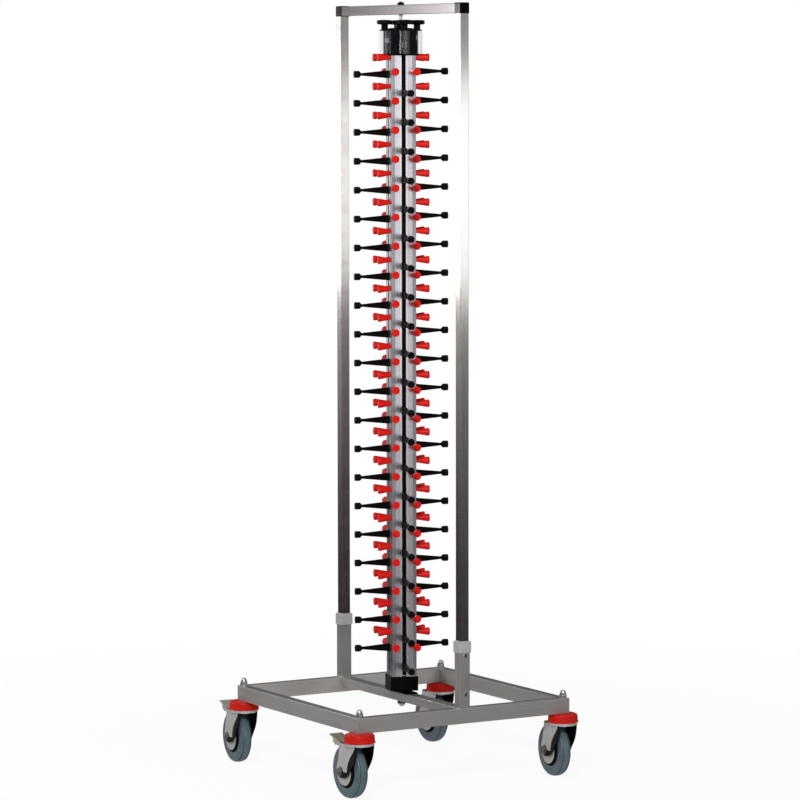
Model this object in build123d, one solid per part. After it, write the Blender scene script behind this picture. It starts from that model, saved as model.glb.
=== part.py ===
"""Mobile plate rack: a square wheeled base with a tall hoop, and a four-sided
column that turns between the base and the hoop's top bar. Each side of the
column carries a stack of red grips and a height-adjustable comb of black arms.

Frame: origin on the column's axis at floor level, +Z up, +X along the cross
beam, +Y towards the right-hand side. All lengths in millimetres.
"""

import os
from math import cos, radians, sin

from build123d import *

os.makedirs("parts", exist_ok=True)

# ---------------------------------------------------------------- dimensions
# base frame
BASE = 570.0            # outer side of the square base
RAIL_W = 22.0           # rail width, in plan
RAIL_H = 36.0           # rail height
RAIL_Z = 154.0          # underside of the rails
WALL = 2.0              # tube wall of the base
BEAM_H = 20.0           # cross beam height, flush with the rail tops
BEAM_W = 30.0
# hoop
POST_X = 271.5          # post axis from the column axis
POST_LOW = 26.0         # lower post, outer
POST_UP = 22.0          # upper tube, outer
POST_WALL = 1.8
POST_LOW_TOP = 329.0
UP_BOTTOM = 236.0
COLLAR = 32.0
COLLAR_Z = (317.0, 344.0)
CUBE = 25.0             # corner connector
TOP_Z = 1800.0          # top of the corner connectors
# casters
STEM_INSET = 11.0       # stem axis from the outer faces of the rails
WHEEL_R = 62.5
TREAD_W = 28.0
TRAIL = 42.0            # axle from the swivel axis
LEG_IN = 22.5           # inner face of a fork leg
LEG_T = 2.0
EMBOSS = 1.2
CASTER_YAW = {"front_left": 0.0, "front_right": -5.0, "back_left": -5.0, "back_right": 0.0}
# column
COL_ANGLE = -18.5       # how far the column is turned at rest, degrees
COL = 60.0
COL_Z = (229.5, 1681.3)
BAND = 20.5             # middle of each face; the outer bands are set back
BAND_STEP = 0.4
SLOT_W = 9.9
SLOT_LIP = 27.0         # inner side of the slot's lips
SLOT_FLOOR = 21.6
TEE_W = 15.2
# stacks
LEVELS = 21
PITCH = 67.1
Z_SIDE = 1677.0         # first grip row, left and right stacks
Z_FACE = 1643.5         # first grip row, front and back stacks
GRIP_SIDE = 25.3        # grips either side of the stack's middle
GRIP_TIP = 61.0         # grip tip from the column axis
DROP = {"front": 49.2, "right": 31.8, "back": 39.0, "left": 39.0}  # arm under its grip row
DROP_MIN, DROP_MAX = 28.0, 52.0
ARM_TIP = 111.5
ARM_END = 94.7
KNOB_R = 38.5           # spindle axis from the column axis
HEAD_Z = (1681.3, 1745.3)
SLEEVE_Z = (1685.3, 1738.3)
EDGE_R = 1.5            # rounding of the base tubes' long edges

STACKS = {"front": 0.0, "right": 90.0, "back": 180.0, "left": 270.0}
CORNERS = {
    "front_left": (1, -1),
    "front_right": (1, 1),
    "back_left": (-1, -1),
    "back_right": (-1, 1),
}
HALF = BASE / 2
RAIL_TOP = RAIL_Z + RAIL_H
STEM = HALF - STEM_INSET


# ------------------------------------------------------------------- helpers
def block(x0, x1, y0, y1, z0, z1):
    """A box by its six faces."""
    return Pos((x0 + x1) / 2, (y0 + y1) / 2, (z0 + z1) / 2) * Box(x1 - x0, y1 - y0, z1 - z0)


def rod(r, z0, z1, x=0.0, y=0.0):
    """A vertical cylinder."""
    return Pos(x, y, (z0 + z1) / 2) * Cylinder(r, z1 - z0)


def prism(points, z0, z1):
    """A plan outline raised from z0 to z1."""
    face = make_face(Polyline(*[(x, y) for x, y in points], close=True))
    return Pos(0, 0, z0) * extrude(face, z1 - z0)


def turned(points):
    """A solid of revolution about Z from (radius, z) points."""
    face = make_face(Plane.XZ * Polyline(*[(r, z) for r, z in points], close=True))
    return revolve(face, Axis.Z)


def side_plate(points, y0, y1):
    """An outline in X and Z, raised from y0 to y1."""
    face = make_face(Plane.XZ * Polyline(*[(x, z) for x, z in points], close=True))
    return Pos(0, y1, 0) * extrude(face, y1 - y0, dir=(0, -1, 0))


def hexagon(af, z0, z1, turn=0.0):
    return Rot(0, 0, turn) * Pos(0, 0, z0) * extrude(RegularPolygon(af / 2, 6, major_radius=False), z1 - z0)


def save(name, *solids):
    """Write one node: a single solid, or several of one kind."""
    flat = []
    for s in solids:
        flat += list(s.solids())
    shape = flat[0] if len(flat) == 1 else Compound(children=flat)
    shape.label = name
    export_step(shape, f"parts/{name}.step")
    print(name, len(flat))


def on_column(deg):
    """The column's own frame, turned so that +X is the stack's direction."""
    return Rot(0, 0, COL_ANGLE + deg)


# ------------------------------------------------------------ base and hoop
def rail(turn):
    o, i = HALF, HALF - RAIL_W
    outer = prism([(o, -o), (o, o), (i, i), (i, -i)], RAIL_Z, RAIL_TOP)
    outer = fillet(outer.edges().filter_by(Axis.Y), EDGE_R)
    o, i = HALF - WALL, HALF - RAIL_W + WALL
    inner = prism([(o, -o), (o, o), (i, i), (i, -i)], RAIL_Z + WALL, RAIL_TOP - WALL)
    body = outer - inner
    for y in (-STEM, STEM):
        body -= rod(5.25, RAIL_Z - 1, RAIL_TOP + 1, STEM, y)
    return Rot(0, 0, turn) * body


save("front_rail", rail(0))
save("right_rail", rail(90))
save("back_rail", rail(180))
save("left_rail", rail(270))

inner_half = HALF - RAIL_W
beam = block(-inner_half, inner_half, -BEAM_W / 2, BEAM_W / 2, RAIL_TOP - BEAM_H, RAIL_TOP)
beam = fillet(beam.edges().filter_by(Axis.X), EDGE_R)
beam -= block(-inner_half - 1, inner_half + 1, -BEAM_W / 2 + WALL, BEAM_W / 2 - WALL, RAIL_TOP - BEAM_H + WALL, RAIL_TOP - WALL)
beam -= rod(6.0, RAIL_TOP - BEAM_H - 1, RAIL_TOP + 1)
save("cross_beam", beam)


def square_tube(size, wall, z0, z1):
    h, k = size / 2, size / 2 - wall
    outer = block(-h, h, -h, h, z0, z1)
    outer = fillet(outer.edges().filter_by(Axis.Z), 1.2)
    return outer - block(-k, k, -k, k, z0 - 1, z1 + 1)


SCREW_Z = (222.0, 311.5)
lower, upper, collars, screws = [], [], [], []
for side in (1, -1):
    place = Pos(side * POST_X, 0, 0) * Rot(0, 0, 0 if side > 0 else 180)
    low = square_tube(POST_LOW, POST_WALL, RAIL_TOP, POST_LOW_TOP)
    up = square_tube(POST_UP, POST_WALL, UP_BOTTOM, TOP_Z - CUBE)
    for z in SCREW_Z:
        hole = Pos(8 + 5, 0, z) * Rot(0, 90, 0) * Cylinder(2.0, 14)
        low -= hole
        up -= hole
        screw = Pos(POST_LOW / 2 - 2, 0, z) * Rot(0, 90, 0) * Cylinder(2.0, 4)
        head = Pos(POST_LOW / 2 + 1.1, 0, z) * Rot(0, 90, 0) * Cylinder(3.8, 2.2)
        screw += head
        socket = Pos(POST_LOW / 2 + 2.2, 0, z) * Rot(0, 90, 0) * Cylinder(1.6, 2.0)
        screws.append(place * (screw - socket))
    lower.append(place * low)
    upper.append(place * up)
    c = block(-COLLAR / 2, COLLAR / 2, -COLLAR / 2, COLLAR / 2, *COLLAR_Z)
    c = chamfer(c.edges().filter_by(Axis.Z), 3.0)
    c = chamfer(c.faces().sort_by(Axis.Z)[-1].edges(), 2.2)
    c = chamfer(c.faces().sort_by(Axis.Z)[0].edges(), 1.2)
    h = POST_LOW / 2
    cut = block(-h, h, -h, h, COLLAR_Z[0] - 1, POST_LOW_TOP)
    cut = fillet(cut.edges().filter_by(Axis.Z), 1.2)
    h = POST_UP / 2
    cut2 = block(-h, h, -h, h, POST_LOW_TOP - 1, COLLAR_Z[1] + 1)
    cut2 = fillet(cut2.edges().filter_by(Axis.Z), 1.2)
    collars.append(place * (c - cut - cut2))
save("lower_posts", *lower)
save("upright_tubes", *upper)
save("post_collars", *collars)
save("post_screws", *screws)

# top bar, its corner connectors and the top pivot
BAR_Z = TOP_Z - CUBE / 2
bar_end = POST_X - CUBE / 2
h, k = POST_UP / 2, POST_UP / 2 - POST_WALL
bar = block(-bar_end, bar_end, -h, h, BAR_Z - h, BAR_Z + h)
bar = fillet(bar.edges().filter_by(Axis.X), 1.2)
bar -= block(-bar_end - 1, bar_end + 1, -k, k, BAR_Z - k, BAR_Z + k)
bar -= rod(3.0, TOP_Z - CUBE, TOP_Z + 1)
save("top_bar", bar)

connectors = []
for side in (1, -1):
    cube = block(-CUBE / 2, CUBE / 2, -CUBE / 2, CUBE / 2, TOP_Z - CUBE, TOP_Z)
    outer_edges = [
        e for e in cube.edges()
        if e.center().X > CUBE / 2 - 0.1 or e.center().Z > TOP_Z - 0.1
    ]
    outer_edges = [e for e in outer_edges if e.center().X > -CUBE / 2 + 0.1 and e.center().Z > TOP_Z - CUBE + 0.1]
    cube = fillet(outer_edges, 3.0)
    s = POST_UP / 2 - POST_WALL - 0.1
    cube += block(-s, s, -s, s, TOP_Z - CUBE - 24, TOP_Z - CUBE)
    cube += block(-CUBE / 2 - 24, -CUBE / 2, -s, s, BAR_Z - s, BAR_Z + s)
    connectors.append(Pos(side * POST_X, 0, 0) * Rot(0, 0, 0 if side > 0 else 180) * cube)
save("corner_connectors", *connectors)

PIN_R = 3.0
HUB_TOP = HEAD_Z[1] + 11.0
save("top_pivot_pin", rod(PIN_R, HUB_TOP - 18, TOP_Z + 1))
save("top_pivot_bush", rod(5.0, BAR_Z - h - 5, BAR_Z - h) - rod(PIN_R, BAR_Z - h - 6, BAR_Z - h + 1))
bar_top = BAR_Z + h
cap = turned([(0, TOP_Z + 1), (PIN_R, TOP_Z + 1), (PIN_R, bar_top), (8.2, bar_top), (8.2, bar_top + 1.6),
              (7.4, bar_top + 4.0), (5.4, bar_top + 6.0), (2.6, bar_top + 7.2), (0, bar_top + 7.5)])
save("top_pivot_cap", cap)

# ---------------------------------------------------- lower pivot on the beam
PAD_TOP = RAIL_TOP + 3.0
WASHER_TOP = PAD_TOP + 2.5
BLOCK_BOTTOM = WASHER_TOP + 0.3
pad = block(-50, 50, -15, 15, RAIL_TOP, PAD_TOP)
pad = fillet(pad.edges().filter_by(Axis.Z), 3.0) - rod(6.0, RAIL_TOP - 1, PAD_TOP + 1)
save("swivel_pad", pad)
save("swivel_washer", rod(19.0, PAD_TOP, WASHER_TOP) - rod(6.0, PAD_TOP - 1, WASHER_TOP + 1))
BEAM_BOTTOM = RAIL_TOP - BEAM_H
save("lower_pivot_bolt", rod(6.0, BEAM_BOTTOM - 8, 216.0))
nut = hexagon(18.0, BEAM_BOTTOM - 8, BEAM_BOTTOM, 15)
nut += turned([(0, BEAM_BOTTOM - 8), (8.2, BEAM_BOTTOM - 8), (7.2, BEAM_BOTTOM - 11.5), (4.4, BEAM_BOTTOM - 14.4), (0, BEAM_BOTTOM - 15.4)])
nut -= rod(6.0, BEAM_BOTTOM - 8, BEAM_BOTTOM + 1)
save("lower_pivot_nut", nut)

# ------------------------------------------------------------ column's parts
profile = RectangleRounded(COL - 2 * BAND_STEP, COL - 2 * BAND_STEP, 1.0) + Rectangle(COL, 2 * BAND) + Rectangle(2 * BAND, COL)
for deg in STACKS.values():
    turn = Rot(0, 0, deg)
    profile -= turn * Pos((SLOT_LIP + 31) / 2, 0) * Rectangle(31 - SLOT_LIP, SLOT_W)
    profile -= turn * Pos((SLOT_FLOOR + SLOT_LIP) / 2, 0) * Rectangle(SLOT_LIP - SLOT_FLOOR, TEE_W)
    profile -= turn * Pos(19.5, 19.5) * RectangleRounded(14, 14, 2.5)
    for line in (-17.0, -11.0, 11.0, 17.0):
        profile -= turn * Pos(COL / 2, line) * Rot(0, 0, 45) * Rectangle(0.42, 0.42)
profile -= Circle(9.0)
extrusion = Pos(0, 0, COL_Z[0]) * extrude(profile, COL_Z[1] - COL_Z[0])
save("column_extrusion", on_column(0) * extrusion)

base_block = block(-33, 33, -33, 33, BLOCK_BOTTOM, COL_Z[0])
base_block = fillet(base_block.edges().filter_by(Axis.Z), 2.0)
base_block = chamfer(base_block.faces().sort_by(Axis.Z)[-1].edges(), 0.8)
base_block += rod(9.0, COL_Z[0], COL_Z[0] + 18)
base_block -= rod(6.05, BLOCK_BOTTOM - 1, 216.5)
save("base_block", on_column(0) * base_block)

head = block(-30, 30, -30, 30, *HEAD_Z)
head = fillet(head.edges().filter_by(Axis.Z), 1.6)
head &= turned([(0, HEAD_Z[0]), (46, HEAD_Z[0]), (46, HEAD_Z[1] - 9.0), (41, HEAD_Z[1] - 5.5), (33, HEAD_Z[1] - 2.2), (24, HEAD_Z[1]), (0, HEAD_Z[1])])
for deg in STACKS.values():
    turn = Rot(0, 0, deg)
    head -= turn * rod(13.3, SLEEVE_Z[0], 1760, KNOB_R, 0)
    head += turn * (rod(13.0, HEAD_Z[0], SLEEVE_Z[0], KNOB_R, 0) - block(0, 29, -20, 20, HEAD_Z[0] - 1, SLEEVE_Z[0] + 1))
for deg in STACKS.values():
    turn = Rot(0, 0, deg)
    head -= turn * block(SLOT_FLOOR, 30.3, -SLOT_W / 2, SLOT_W / 2, HEAD_Z[0] - 1, HEAD_Z[1] - 10.0)
    head -= turn * rod(3.05, HEAD_Z[0] - 1, SLEEVE_Z[0] + 1, KNOB_R, 0)
hub = turned([(0, HEAD_Z[1]), (12, HEAD_Z[1]), (12, HUB_TOP - 2), (10.5, HUB_TOP), (0, HUB_TOP)])
head = head + hub + rod(9.0, HEAD_Z[0] - 18, HEAD_Z[0])
head -= rod(PIN_R + 0.05, HUB_TOP - 18.5, HUB_TOP + 1)
save("head_block", on_column(0) * head)

sleeves = []
for name, deg in STACKS.items():
    s = rod(13.0, *SLEEVE_Z, KNOB_R, 0) - rod(11.0, SLEEVE_Z[0] - 1, SLEEVE_Z[1] + 1, KNOB_R, 0)
    s -= block(20, KNOB_R, -5.2, 5.2, SLEEVE_Z[0] - 1, SLEEVE_Z[1] + 1)
    sleeves.append(on_column(deg) * s)
save("clear_sleeves", *sleeves)

# one grip, along +X from the column's face
GRIP_ROOT = COL / 2 - BAND_STEP
GRIP_L = GRIP_TIP - GRIP_ROOT
outline = make_face(Polyline(
    (0, 0), (0, 4.2), (GRIP_L - 7.0, 8.5), (GRIP_L - 6.2, 8.9), (GRIP_L - 1.1, 8.9), (GRIP_L, 7.8), (GRIP_L, 0), close=True))
grip = revolve(outline, Axis.X)
grips = []
for name, deg in STACKS.items():
    top = Z_FACE if name in ("front", "back") else Z_SIDE
    for level in range(LEVELS):
        for side in (-GRIP_SIDE, GRIP_SIDE):
            grips.append(on_column(deg) * Pos(GRIP_ROOT, side, top - level * PITCH) * grip)
save("grip_pins", *grips)

# ------------------------------------------- combs: strip, arms, tips; knobs
root_face = Plane.YZ * RectangleRounded(8.0, 18.4, 2.4)
neck_face = Pos(ARM_END - COL / 2, 0, 0) * (Plane.YZ * RectangleRounded(5.2, 5.6, 2.0))
arm = loft([root_face, neck_face], ruled=True)
tip_outline = make_face(Polyline(
    (ARM_END, 0), (ARM_END, 3.4), (ARM_END + 4.4, 8.1), (ARM_TIP - 1.0, 8.1), (ARM_TIP, 7.1), (ARM_TIP, 0), close=True))
tip = Pos(-COL / 2, 0, 0) * revolve(tip_outline, Axis.X)

for name, deg in STACKS.items():
    drop = DROP[name]
    top = (Z_FACE if name in ("front", "back") else Z_SIDE) - drop
    place = on_column(deg)
    z_bottom = COL_Z[0] + 1.5 + (DROP_MAX - drop)
    z_tee = COL_Z[1] - 1.0 - (drop - DROP_MIN)
    z_nut = HEAD_Z[1] + 10.0 - drop
    strip = block(22.0, 26.7, -7.3, 7.3, z_bottom, z_tee)
    strip += block(22.0, 30.0, -4.65, 4.65, z_bottom, z_nut + 6)
    strip += block(29.0, KNOB_R, -4.65, 4.65, z_nut - 6, z_nut + 6)
    strip -= rod(3.05, z_nut - 7, z_nut + 7, KNOB_R, 0)
    save(f"comb_strip_{name}", place * strip)
    arms, tips = [], []
    for level in range(LEVELS):
        at = Pos(COL / 2, 0, top - level * PITCH)
        arms.append(place * at * arm)
        tips.append(place * at * tip)
    save(f"arms_{name}", *arms)
    save(f"arm_tips_{name}", *tips)
    knob = turned([
        (0, 1681.8), (3.0, 1681.8), (3.0, 1738.6), (12.0, 1738.6), (12.0, 1740.3), (7.85, 1741.8), (7.85, 1753.3),
        (15.6, 1753.3), (17.4, 1754.7), (18.0, 1756.7), (18.0, 1759.5), (17.2, 1761.7), (15.0, 1763.0), (8.0, 1763.6), (0, 1763.8)])
    save(f"height_knob_{name}", place * Pos(KNOB_R, 0, 0) * knob)

# ------------------------------------------------------------------- casters
BUMPER_Z = 134.0
stems, nuts, bumpers = [], [], []
for name, (sx, sy) in CORNERS.items():
    at = Pos(sx * STEM, sy * STEM, 0)
    stem = turned([(0, 122.0), (10.0, 122.0), (11.0, 123.0), (11.0, 126.7), (5.0, 126.7), (5.0, 142.0), (23.0, 142.0),
                   (23.0, 150.0), (5.0, 150.0), (5.0, 203.0), (0, 203.0)])
    stems.append(at * stem)
    cap_nut = hexagon(16.0, RAIL_TOP, RAIL_TOP + 8, 20)
    cap_nut += turned([(0, RAIL_TOP + 8), (7.4, RAIL_TOP + 8), (7.4, RAIL_TOP + 11), (6.6, RAIL_TOP + 14.2), (4.6, RAIL_TOP + 16.8), (2.2, RAIL_TOP + 17.9), (0, RAIL_TOP + 18.2)])
    cap_nut -= rod(5.0, RAIL_TOP - 1, 203.0)
    nuts.append(at * cap_nut)
    bumper = turned([(29.0, BUMPER_Z), (36.5, BUMPER_Z), (36.5, BUMPER_Z + 1.4), (35.0, BUMPER_Z + 3.0), (34.4, BUMPER_Z + 14.6),
                     (33.2, BUMPER_Z + 17.6), (30.0, BUMPER_Z + 19.3), (27.5, RAIL_Z), (5.0, RAIL_Z), (5.0, 150.0), (29.0, 150.0)])
    bumpers.append(at * bumper)
save("caster_stems", *stems)
save("caster_cap_nuts", *nuts)
save("corner_bumpers", *bumpers)

# fork leg outline in X and Z, from the stem axis
LEG = [(24.5, 127.5), (23.5, 121.5), (22.3, 115.0), (20.8, 108.0), (17.8, 99.0), (13.8, 91.0), (8.2, 83.0), (2.0, 75.0), (-4.5, 66.5),
       (-11.0, 58.8), (-18.5, 53.0), (-27.0, 49.6), (-35.0, 48.2), (-42.0, 48.0), (-48.5, 49.4), (-53.4, 52.8), (-56.6, 57.6), (-57.8, 63.5),
       (-57.4, 70.0), (-55.4, 82.0), (-52.6, 95.0), (-49.6, 107.0), (-47.6, 118.0), (-47.0, 131.0), (-25.0, 131.0), (20.0, 131.0)]
PANEL = [(18.5, 121.5), (9.0, 110.0), (-2.0, 98.5), (-9.5, 87.0), (-13.5, 76.0), (-15.5, 64.0),
         (-56.2, 64.0), (-56.0, 72.0), (-54.2, 84.0), (-51.4, 96.0), (-48.6, 108.0), (-46.6, 118.0), (-46.0, 128.5), (18.5, 128.5)]
PEDAL_PIVOT = (-41.0, 120.5)


def fork(braked):
    plate = turned([(0, 127.0), (32.4, 127.0), (33.5, 128.0), (33.5, 133.1), (32.6, 133.7), (21.0, 133.7), (21.0, 141.7), (0, 141.7)])
    plate += block(-47.0, 0, -LEG_IN - LEG_T, LEG_IN + LEG_T, 127.0, 131.0)
    for s in (-1, 1):
        y = sorted((s * LEG_IN, s * (LEG_IN + LEG_T)))
        plate += side_plate(LEG, *y)
        y = sorted((s * (LEG_IN + LEG_T - 0.5), s * (LEG_IN + LEG_T + EMBOSS)))
        panel = side_plate(PANEL, *y)
        panel -= Pos(-TRAIL, 0, WHEEL_R) * Rot(90, 0, 0) * Cylinder(11.0, 60)
        plate += panel
    plate -= rod(5.05, 120, 150)
    # the axle's hole, and the pedal's pivot holes
    plate -= Pos(-TRAIL, 0, WHEEL_R) * Rot(90, 0, 0) * Cylinder(4.0, 60)
    if braked:
        plate -= Pos(PEDAL_PIVOT[0], 0, PEDAL_PIVOT[1]) * Rot(90, 0, 0) * Cylinder(2.55, 60)
    return plate


def around_axle(points):
    """A solid of revolution about the wheel's axis from (radius, y) points."""
    face = make_face(Polyline(*[(r, y) for r, y in points], close=True))
    return Pos(-TRAIL, 0, WHEEL_R) * revolve(face, Axis.Y)


half = TREAD_W / 2
tyre_half = [(39.5, half - 1.4), (42.0, half - 0.4), (46.0, half), (52.0, half), (56.5, half - 0.8), (59.6, half - 2.6), (61.4, half - 5.2),
             (62.2, half - 8.2), (WHEEL_R, half - 11.5)]
tyre_points = tyre_half + [(r, -y) for r, y in reversed(tyre_half)]
hub_points = [(4.05, 22.0), (9.2, 22.0), (9.5, 18.6), (31.5, 18.6), (33.0, 17.8), (34.5, 17.0), (38.8, 13.4), (39.5, half - 1.4)]
hub_points = hub_points + [(r, -y) for r, y in reversed(hub_points)]

for name, (sx, sy) in CORNERS.items():
    at = Pos(sx * STEM, sy * STEM, 0) * Rot(0, 0, CASTER_YAW[name])
    braked = sy < 0
    save(f"fork_{name}", at * fork(braked))
    out = LEG_IN + LEG_T
    spin = Pos(-TRAIL, 0, WHEEL_R) * Rot(90, 0, 0)
    head_b = Pos(0, 0, -out - 5.5) * extrude(RegularPolygon(8.5, 6, major_radius=False), 5.5)
    nut_b = Pos(0, 0, out) * extrude(RegularPolygon(8.5, 6, major_radius=False), 7.6)
    axle = Cylinder(4.0, 2 * out) + head_b + nut_b + Pos(0, 0, out + 7.6 + 0.8) * Cylinder(3.8, 1.6)
    save(f"axle_bolt_{name}", at * spin * Rot(0, 0, 30) * axle)
    save(f"tyre_{name}", at * around_axle(tyre_points))
    save(f"wheel_hub_{name}", at * around_axle(hub_points))
    if braked:
        # pressed pedal: a sloping plate, two side cheeks, stub pins, and a brake shoe
        slope = [(-110.0, 139.6), (-65.0, 126.85), (-65.0, 124.75), (-110.0, 137.5)]
        pedal = side_plate(slope, -17.0, 17.0)
        cheek = [(-93.0, 134.0), (-64.0, 125.8), (-52.0, 124.6), (-37.0, 124.6), (-35.6, 121.0), (-37.0, 116.4), (-50.0, 115.4), (-66.0, 117.0), (-88.0, 121.0), (-92.0, 125.0)]
        for s in (-1, 1):
            pedal += side_plate(cheek, *sorted((s * 15.2, s * 17.0)))
            pedal += Pos(PEDAL_PIVOT[0], s * 20.2, PEDAL_PIVOT[1]) * Rot(90, 0, 0) * Cylinder(2.5, 11.0)
        shoe = [(-92.0, 133.4), (-80.0, 130.0), (-77.5, 120.0), (-84.0, 116.4), (-91.0, 122.5)]
        pedal += side_plate(shoe, -15.6, 15.6)
        save(f"brake_pedal_{name}", at * pedal)
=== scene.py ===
import math

import bmesh
import bpy
import numpy as np
from mathutils import Matrix, Vector


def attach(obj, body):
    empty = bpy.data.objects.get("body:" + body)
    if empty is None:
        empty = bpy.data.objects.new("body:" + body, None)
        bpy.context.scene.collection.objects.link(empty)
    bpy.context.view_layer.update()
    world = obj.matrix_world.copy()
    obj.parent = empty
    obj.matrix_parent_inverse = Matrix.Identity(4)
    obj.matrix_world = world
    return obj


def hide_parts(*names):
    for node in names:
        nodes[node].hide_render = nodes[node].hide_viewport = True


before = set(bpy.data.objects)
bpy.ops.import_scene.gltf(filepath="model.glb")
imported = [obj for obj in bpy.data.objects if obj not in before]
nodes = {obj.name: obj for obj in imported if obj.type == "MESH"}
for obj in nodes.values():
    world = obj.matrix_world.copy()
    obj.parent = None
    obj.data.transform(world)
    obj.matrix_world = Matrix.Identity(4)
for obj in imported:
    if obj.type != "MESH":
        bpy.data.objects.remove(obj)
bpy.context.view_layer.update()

MM = 0.001
D2R = math.pi / 180

# The same dimensions as the CAD model, in millimetres.
HALF = 285.0
RAIL_W, RAIL_Z, RAIL_TOP = 22.0, 154.0, 190.0
STEM = 274.0
TRAIL, WHEEL_R = 42.0, 62.5
LEG_IN, LEG_T, EMBOSS = 22.5, 2.0, 1.2
COL_ANGLE = -18.5
CASTER_YAW = {"front_left": 0.0, "front_right": -5.0, "back_left": -5.0, "back_right": 0.0}
LEVELS, PITCH, Z_SIDE, Z_FACE = 21, 67.1, 1677.0, 1643.5
GRIP_SIDE, GRIP_ROOT = 25.3, 29.6
KNOB_R = 38.5
ARM_END, ARM_TIP = 94.7, 111.5
DROP = {"front": 49.2, "right": 31.8, "back": 39.0, "left": 39.0}
STACKS = {"front": 0.0, "right": 90.0, "back": 180.0, "left": 270.0}
CORNERS = {"front_left": (1, -1), "front_right": (1, 1), "back_left": (-1, -1), "back_right": (-1, 1)}


# ============================================================ mesh building
def rounded(points, seg=4):
    """A polygon or open line from (x, y) or (x, y, radius) points, with its corners rounded."""
    out, n = [], len(points)
    for i, p in enumerate(points):
        r = p[2] if len(p) > 2 else 0.0
        if r <= 0:
            out.append((p[0], p[1]))
            continue
        c = Vector(p[:2])
        a, b = Vector(points[i - 1][:2]) - c, Vector(points[(i + 1) % n][:2]) - c
        turn = math.pi - a.angle(b)
        t = min(r * math.tan(turn / 2), a.length * 0.49, b.length * 0.49)
        s, e = c + a.normalized() * t, c + b.normalized() * t
        for k in range(seg + 1):
            u = k / seg
            q = s * (1 - u) ** 2 + c * 2 * u * (1 - u) + e * u * u
            out.append((q.x, q.y))
    return out


class Piece:
    """Collects vertices and faces in millimetres, then makes one object in metres."""

    def __init__(self):
        self.v, self.f, self.m, self.n = [], [], [], 0

    def add(self, verts, faces, mat=0, at=None):
        co = np.asarray(verts, float)
        if at is not None:
            a = np.array(at, float)
            co = co @ a[:3, :3].T + a[:3, 3]
        self.v.append(co)
        self.f += [tuple(i + self.n for i in f) for f in faces]
        self.m += [mat] * len(faces)
        self.n += len(co)

    def make(self, name, mats, angle=32.0, weld=False):
        me = bpy.data.meshes.new(name)
        me.from_pydata((np.vstack(self.v) * MM).tolist(), [], self.f)
        for m in mats:
            me.materials.append(m)
        me.polygons.foreach_set("material_index", self.m)
        bm = bmesh.new()
        bm.from_mesh(me)
        if weld:
            bmesh.ops.remove_doubles(bm, verts=bm.verts, dist=1e-6)
        bmesh.ops.recalc_face_normals(bm, faces=bm.faces)
        bm.to_mesh(me)
        bm.free()
        me.polygons.foreach_set("use_smooth", [True] * len(me.polygons))
        me.set_sharp_from_angle(angle=math.radians(angle))
        ob = bpy.data.objects.new(name, me)
        bpy.context.scene.collection.objects.link(ob)
        return ob


def lathe(profile, n=48, axis="Z", wave=None):
    """A closed solid of revolution from (radius, along) points. wave(radius, along, angle) may change the radius."""
    pts = list(profile)
    verts, rings = [], []
    for r, h in pts:
        if r < 1e-6:
            rings.append([len(verts)])
            verts.append((0.0, 0.0, h))
        else:
            ring = []
            for k in range(n):
                a = 2 * math.pi * k / n
                rr = wave(r, h, a) if wave else r
                ring.append(len(verts))
                verts.append((rr * math.cos(a), rr * math.sin(a), h))
            rings.append(ring)
    faces = []
    closed = not (pts[0][0] < 1e-6 and pts[-1][0] < 1e-6)
    count = len(rings) if closed else len(rings) - 1
    for i in range(count):
        a, b = rings[i], rings[(i + 1) % len(rings)]
        if len(a) == 1 and len(b) == 1:
            continue
        for k in range(n):
            j = (k + 1) % n
            if len(a) == 1:
                faces.append((a[0], b[k], b[j]))
            elif len(b) == 1:
                faces.append((a[k], b[0], a[j]))
            else:
                faces.append((a[k], b[k], b[j], a[j]))
    if axis == "X":
        verts = [(z, x, y) for x, y, z in verts]
    elif axis == "Y":
        verts = [(y, z, x) for x, y, z in verts]
    return verts, faces


def prism(outline, h0, h1, plane="XY", bevel=0.0, seg=2, limit=25.0, pick=None):
    """An outline raised from h0 to h1, with its edges rounded. Plane XZ raises along Y, and YZ along X."""
    bm = bmesh.new()
    lift = {
        "XY": lambda p, h: (p[0], p[1], h),
        "XZ": lambda p, h: (p[0], h, p[1]),
        "YZ": lambda p, h: (h, p[0], p[1]),
    }[plane]
    low = [bm.verts.new(lift(p, h0)) for p in outline]
    top = [bm.verts.new(lift(p, h1)) for p in outline]
    bm.faces.new(low)
    bm.faces.new(top[::-1])
    n = len(outline)
    for i in range(n):
        j = (i + 1) % n
        bm.faces.new((low[i], top[i], top[j], low[j]))
    bmesh.ops.recalc_face_normals(bm, faces=bm.faces)
    if bevel > 0:
        edges = [e for e in bm.edges if e.calc_face_angle(0) > math.radians(limit) and (pick is None or pick(e))]
        bmesh.ops.bevel(bm, geom=edges, offset=bevel, segments=seg, profile=0.5, affect="EDGES", clamp_overlap=True)
    bm.verts.index_update()
    verts = [tuple(v.co) for v in bm.verts]
    faces = [tuple(v.index for v in f.verts) for f in bm.faces]
    bm.free()
    return verts, faces


def slab(x0, x1, y0, y1, z0, z1, bevel=0.0, seg=2, pick=None):
    return prism([(x0, y0), (x1, y0), (x1, y1), (x0, y1)], z0, z1, bevel=bevel, seg=seg, pick=pick)


def loft(sections):
    """A closed solid through sections with equal numbers of points."""
    n = len(sections[0])
    verts = [p for s in sections for p in s]
    faces = []
    for i in range(len(sections) - 1):
        a, b = i * n, (i + 1) * n
        for k in range(n):
            j = (k + 1) % n
            faces.append((a + k, a + j, b + j, b + k))
    faces.append(tuple(range(n))[::-1])
    faces.append(tuple(range((len(sections) - 1) * n, len(sections) * n)))
    return verts, faces


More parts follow.
